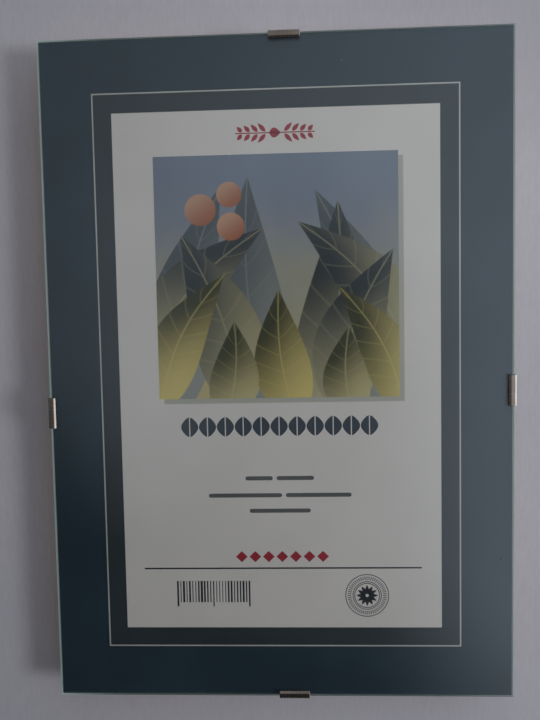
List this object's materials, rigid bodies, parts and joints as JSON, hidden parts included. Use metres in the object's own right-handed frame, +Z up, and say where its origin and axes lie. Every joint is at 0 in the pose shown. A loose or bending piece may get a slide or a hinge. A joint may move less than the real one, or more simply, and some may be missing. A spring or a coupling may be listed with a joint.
{
  "type": "clip frame",
  "caption": "Frameless picture holder: a glass pane, printed sheet and hardboard back held together by spring clips with hanging keyholes.",
  "frame": {"origin": "centre of the top clip's hanging hole, in the plane of the wall that the frame hangs on", "axes": "+Z up along the frame's long side, +Y from the picture into the wall, +X to the right as the picture is seen"},
  "size_m": [0.2114, 0.0096, 0.3015],
  "materials": {
    "glass": "clear float glass",
    "insert_paper": "offset print",
    "hardboard": "pressed, unpainted",
    "spring_steel": "nickel plated, satin"
  },
  "bodies": {
    "sheets": {"glass_pane": "glass", "printed_insert": "insert_paper", "backing_board": "hardboard"},
    "clip_top": {"clip_top": "spring_steel"},
    "clip_bottom": {"clip_bottom": "spring_steel"},
    "clip_left": {"clip_left": "spring_steel"},
    "clip_right": {"clip_right": "spring_steel"}
  },
  "joints": [
    {"name": "clip_top_swing", "type": "hinge", "parent": "sheets", "child": "clip_top", "pos_m": [0, -0.0087, 0.01205], "axis": [1, 0, 0], "range_deg": [0, 100]},
    {"name": "clip_bottom_swing", "type": "hinge", "parent": "sheets", "child": "clip_bottom", "pos_m": [-0.0001, -0.0087, -0.28305], "axis": [-1, 0, 0], "range_deg": [0, 100]},
    {"name": "clip_left_swing", "type": "hinge", "parent": "sheets", "child": "clip_left", "pos_m": [-0.10755, -0.0087, -0.1519], "axis": [0, 0, 1], "range_deg": [0, 100]},
    {"name": "clip_right_swing", "type": "hinge", "parent": "sheets", "child": "clip_right", "pos_m": [0.09755, -0.0087, -0.1443], "axis": [0, 0, -1], "range_deg": [0, 100]}
  ]
}
